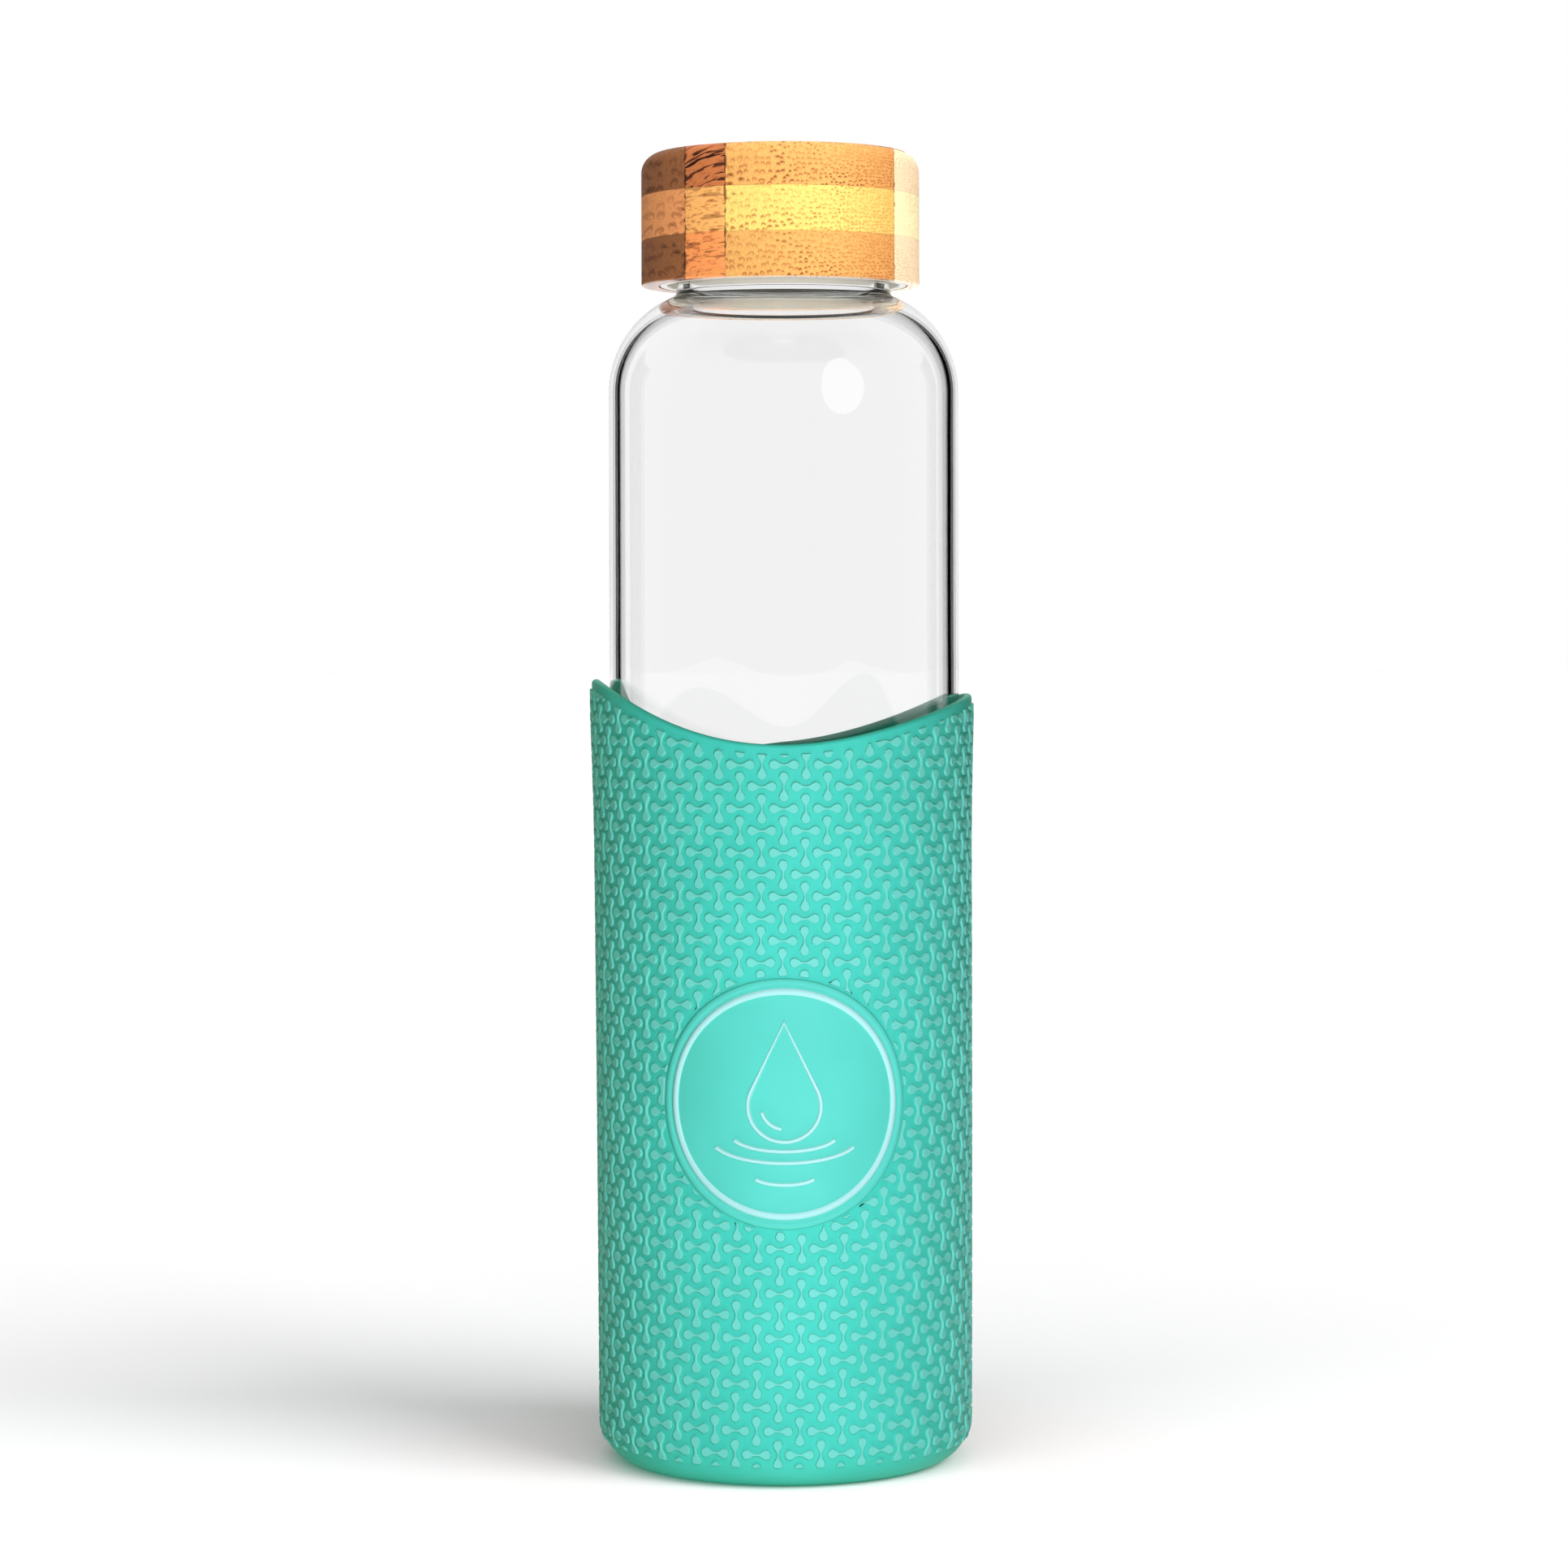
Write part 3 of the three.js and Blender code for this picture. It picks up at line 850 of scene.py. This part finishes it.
def bamboo_ply(ply, bottom, top, shade, bend, blackness):
    """The strips of one ply, each a piece of its own with the grain of its strip."""
    height = top - bottom
    far = 2 * LID_RADIUS
    left, inner, right = JOINTS
    strips = (
        # The left end's dark wood is painted shade.
        ("left_end", -far, left, f"{shade}_end"),
        ("streaked", left, inner, f"{shade}_streaked"),
        ("main", inner, right, shade),
        # The right end's light cream wood is a painted highlight.
        ("right_end", right, far, f"{shade}_painted_glare"),
    )
    for strip, start, end, usual_wood in strips:
        wood = WOODS.get(f"{ply}_{strip}") or WOODS[usual_wood]
        if strip == "streaked":
            material = long_grain(f"{ply}_{strip}_grain", wood, bend, blackness)
        else:
            # The right end's faint vessels are part of its painted highlight.
            contrast = 0.25 if strip == "right_end" else 0.95
            material = end_grain(f"{ply}_{strip}_grain", wood, bottom, height, contrast)
        halves = [("_front", -far, 0), ("_back", 0, far)]
        if ply == "top_ply" or strip.endswith("end"):
            halves = [("", -far, far)]
        for half, near, away in halves:
            node = f"{ply}_{strip}{half}"
            piece = ply_blank(ply, bottom + GLUE_LINE / 2, top - GLUE_LINE / 2, material)
            piece.name = f"{node}_wood"
            low = (start + LID_SHIFT + GLUE_LINE / 2, near, bottom - 1)
            high = (end + LID_SHIFT - GLUE_LINE / 2, away, top + 1)
            combine(piece, mesh_object("cutter", *block(low, high), material), "INTERSECT", 30)
            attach(piece, "lid")
            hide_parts(node)


def bamboo_lid():
    lower_seam = MIDDLE_LOW.z - STRIP_GAP / 2
    upper_seam = MIDDLE_HIGH.z + STRIP_GAP / 2
    bamboo_ply("bottom_ply", LINER_LOW.z, lower_seam, "dark", 0.012, 0.6)
    bamboo_ply("middle_ply", lower_seam, upper_seam, "light", 0.006, 0.5)
    bamboo_ply("top_ply", upper_seam, TOP_HIGH.z, "dark", 0.036, 1.0)


# ---------------------------------------------------------------- Stage, light and camera

def floor():
    """Plain white. Seen through glass it is as bright as the backdrop, and it throws little light back up.
    Near the sleeve it is faintly pink, which takes the sleeve's green out of the shadow."""
    g = Graph("floor_white")
    x, y, z = g.position()
    mottle = g.noise(g.vector(x, y, z), 0.01)
    white = g.blend(mottle, (0.90, 0.90, 0.90, 1), (0.92, 0.92, 0.92, 1))
    length = {"operation": "LENGTH"}
    away = g.node("ShaderNodeVectorMath", output="Value", settings=length, Vector=g.vector(x, y, 0.0))
    pink = g.smooth(away, 30.0, 100.0, 1.0, 0.0)
    seen = g.blend(pink, white, (0.92, 0.85, 0.86, 1))
    path = g.tree.nodes.new("ShaderNodeLightPath")
    g.set(Base_Color=g.blend(path.outputs["Is Diffuse Ray"], seen, (0.20, 0.20, 0.20, 1)), Roughness=0.9)
    g.set(Specular_IOR_Level=0.0)
    emission = g.tree.nodes.new("ShaderNodeEmission")
    emission.inputs["Strength"].default_value = 0.95
    mix = g.tree.nodes.new("ShaderNodeMixShader")
    g.feed(mix.inputs[0], path.outputs["Is Transmission Ray"])
    g.feed(mix.inputs[1], g.shader.outputs[0])
    g.feed(mix.inputs[2], emission.outputs[0])
    g.feed(g.tree.nodes["Material Output"].inputs["Surface"], mix.outputs[0])
    half = 12000
    corners = [(-half, -half, 0), (half, -half, 0), (half, half, 0), (-half, half, 0)]
    mesh_object("floor", corners, [(0, 1, 2, 3)], g.material)


def flag(name, first, last):
    """A black card that curves round the bottle from one angle to another. Only the glass sees it, as the
    dark line along its edge."""
    material = Graph(name).set(Base_Color=(0.01, 0.01, 0.012, 1), Specular_IOR_Level=0.0).material
    distance, foot, head, steps = 700, -200, 1500, 12
    vertices, faces = [], []
    for k in range(steps + 1):
        angle = math.radians(first + (last - first) * k / steps)
        vertices += [around(distance, angle, foot), around(distance, angle, head)]
    for k in range(steps):
        faces.append((2 * k, 2 * k + 2, 2 * k + 3, 2 * k + 1))
    card = mesh_object(name, vertices, faces, material)
    card.visible_camera = False
    card.visible_diffuse = False
    card.visible_shadow = False


def aim(thing, target):
    thing.rotation_euler = (Vector(target) - thing.location).to_track_quat("-Z", "Y").to_euler()


def sun(name, azimuth, elevation, spread, strength, receivers, blockers=None):
    """A sun at an azimuth to the right of the camera. It lights only its receivers, and only its blockers
    cast a shadow, if any are given."""
    data = bpy.data.lights.new(name, "SUN")
    data.energy = strength
    data.angle = math.radians(spread)
    lamp = bpy.data.objects.new(name, data)
    bpy.context.scene.collection.objects.link(lamp)
    azimuth, elevation = math.radians(azimuth), math.radians(elevation)
    lamp.location = (math.sin(azimuth) * math.cos(elevation), -math.cos(azimuth) * math.cos(elevation),
                     math.sin(elevation))
    aim(lamp, (0, 0, 0))
    lamp.visible_glossy = lamp.visible_transmission = False
    lamp.light_linking.receiver_collection = receivers
    if blockers:
        lamp.light_linking.blocker_collection = blockers


def light_groups():
    """Collections of the pieces that a lamp lights, or that cast a shadow in its light."""
    names = ("silicone", "all_but_silicone", "lid", "wood", "liner", "pieces", "opaque")
    groups = {name: bpy.data.collections.new(name) for name in names}
    for piece in bpy.context.scene.objects:
        if piece.type != "MESH" or piece.name.startswith("flag"):
            continue
        groups["silicone" if piece.name.startswith("sleeve") else "all_but_silicone"].objects.link(piece)
        if piece.name.endswith("_wood"):
            groups["lid"].objects.link(piece)
            groups["wood"].objects.link(piece)
        if piece.name.startswith(("liner", "seal")):
            groups["lid"].objects.link(piece)
            groups["liner"].objects.link(piece)
        if not piece.name.startswith("glass"):
            groups["opaque"].objects.link(piece)
        if piece.name != "floor":
            groups["pieces"].objects.link(piece)
    return groups


def lights():
    """The key sun comes from the right, and casts the shadow with the front sun. These two light all but the
    sleeve, which has lamps of its own from further in front. The lid has one more from the front, and others
    from below for what the table throws back up. The back sun lights every piece from behind. In the key,
    front, lid and back suns the glass casts no shadow."""
    groups = light_groups()
    # Azimuth, elevation and spread are in degrees.
    sun("key_sun", 54, 36, 40, 2.5, groups["all_but_silicone"], groups["opaque"])
    sun("front_sun", -8, 42, 70, 2.2, groups["all_but_silicone"], groups["opaque"])
    sun("lid_sun", 12, 20, 40, 1.5, groups["lid"], groups["opaque"])
    sun("silicone_sun", -3, 38, 40, 1.05, groups["silicone"])
    sun("silicone_bounce", 0, -70, 40, 1.5, groups["silicone"], groups["silicone"])
    sun("back_sun", 180, 35, 40, 2.4, groups["pieces"], groups["opaque"])
    sun("table_bounce", 0, -85, 40, 4.5, groups["wood"], groups["lid"])
    sun("liner_bounce", 0, -85, 40, 1.6, groups["liner"], groups["lid"])
    sun("liner_fill", 0, -8, 10, 1.6, groups["liner"], groups["wood"])
    silicone_strip(groups["silicone"])


def silicone_strip(receivers):
    """A narrow light close in front, so that the sides of the sleeve fall away into shade."""
    height = 0.065
    data = bpy.data.lights.new("silicone_strip", "AREA")
    data.shape = "RECTANGLE"
    data.size = 0.08
    data.size_y = 0.12
    data.energy = 0.335
    data.color = (1.28, 0.95, 1.48)
    lamp = bpy.data.objects.new("silicone_strip", data)
    bpy.context.scene.collection.objects.link(lamp)
    lamp.location = (0.028, -0.21, height)
    aim(lamp, (0, 0, height))
    lamp.visible_camera = lamp.visible_glossy = lamp.visible_transmission = False
    lamp.light_linking.receiver_collection = receivers


def softbox():
    """The shape whose mirror image in the shoulder of the glass is an oval highlight, found by sending the
    outline of that oval back along the mirrored rays."""
    across, centre, half_width, half_height = 10.7, 198.8, 3.9, 4.9
    distance, corners = 1000.0, 40
    vertices = []
    for k in range(corners):
        turn = 2 * math.pi * k / corners
        x, z = across + half_width * math.cos(turn), centre + half_height * math.sin(turn)
        lift = max(0.0, z - SHOULDER_START) / SHOULDER_RADIUS
        normal = math.asin(x / GLASS_RADIUS)
        azimuth = 2 * normal + x / EYE_DISTANCE
        elevation = (z - EYE_HEIGHT) / (EYE_DISTANCE - GLASS_RADIUS) + 2 * math.asin(lift)
        start = around(GLASS_RADIUS, normal, z)
        heading = around(math.cos(elevation), azimuth, math.sin(elevation))
        vertices.append([s + distance * h for s, h in zip(start, heading)])
    glow = {"Base_Color": (0, 0, 0, 1), "Emission_Color": (1, 1, 1, 1), "Emission_Strength": 2.5}
    card = mesh_object("softbox", vertices, [tuple(range(corners))], Graph("softbox").set(**glow).material)
    card.visible_camera = card.visible_diffuse = card.visible_shadow = card.visible_transmission = False


def surroundings():
    """White where it is seen, a little dimmer through glass, and much dimmer as a source of light.
    Glossy things see a bright backdrop and a dim studio in front of it."""
    world = bpy.data.worlds.new("studio")
    bpy.context.scene.world = world
    world.use_nodes = True
    tree = world.node_tree
    background = tree.nodes["Background"]
    background.inputs["Color"].default_value = (1, 1, 1, 1)
    path = tree.nodes.new("ShaderNodeLightPath")
    place = tree.nodes.new("ShaderNodeTexCoord")
    parts = tree.nodes.new("ShaderNodeSeparateXYZ")
    tree.links.new(place.outputs["Generated"], parts.inputs[0])
    backdrop = tree.nodes.new("ShaderNodeMapRange")
    backdrop.inputs["From Min"].default_value = -0.3
    backdrop.inputs["From Max"].default_value = 0.5
    backdrop.inputs["To Max"].default_value = 0.75
    tree.links.new(parts.outputs[1], backdrop.inputs["Value"])

    def combine_values(operation, first, second):
        made = tree.nodes.new("ShaderNodeMath")
        made.operation = operation
        for socket, value in zip(made.inputs, (first, second)):
            if isinstance(value, bpy.types.NodeSocket):
                tree.links.new(value, socket)
            else:
                socket.default_value = value
        return made.outputs[0]

    total = combine_values("MULTIPLY", path.outputs["Is Camera Ray"], 0.80)
    through = combine_values("MULTIPLY", path.outputs["Is Transmission Ray"], 0.73)
    reflected = combine_values("SUBTRACT", path.outputs["Is Glossy Ray"], path.outputs["Is Transmission Ray"])
    reflected = combine_values("MAXIMUM", reflected, 0.0)
    mirrored = combine_values("MULTIPLY", reflected, backdrop.outputs[0])
    total = combine_values("ADD", total, through)
    total = combine_values("ADD", total, mirrored)
    tree.links.new(combine_values("ADD", total, 0.20), background.inputs["Strength"])


def camera():
    """The eye is level, a little above the middle of the bottle, and the frame is shifted down."""
    data = bpy.data.cameras.new("camera")
    data.sensor_width = 36
    data.lens = 97.9
    data.shift_y = -0.104
    data.clip_end = 50
    eye = bpy.data.objects.new("camera", data)
    bpy.context.scene.collection.objects.link(eye)
    eye.location = (0, -EYE_DISTANCE * MM, EYE_HEIGHT * MM)
    eye.rotation_euler = (math.radians(90), math.radians(0.12), 0)
    bpy.context.scene.camera = eye


# ---------------------------------------------------------------- Assembly

glass_bottle()
silicone_sleeve()
lid_seal()
threaded_liner()
bamboo_lid()
floor()
flag("flag_left", -151, -132)
flag("flag_right", 126, 154)
lights()
softbox()
surroundings()
camera()

scene = bpy.context.scene
scene.view_settings.view_transform = "Standard"
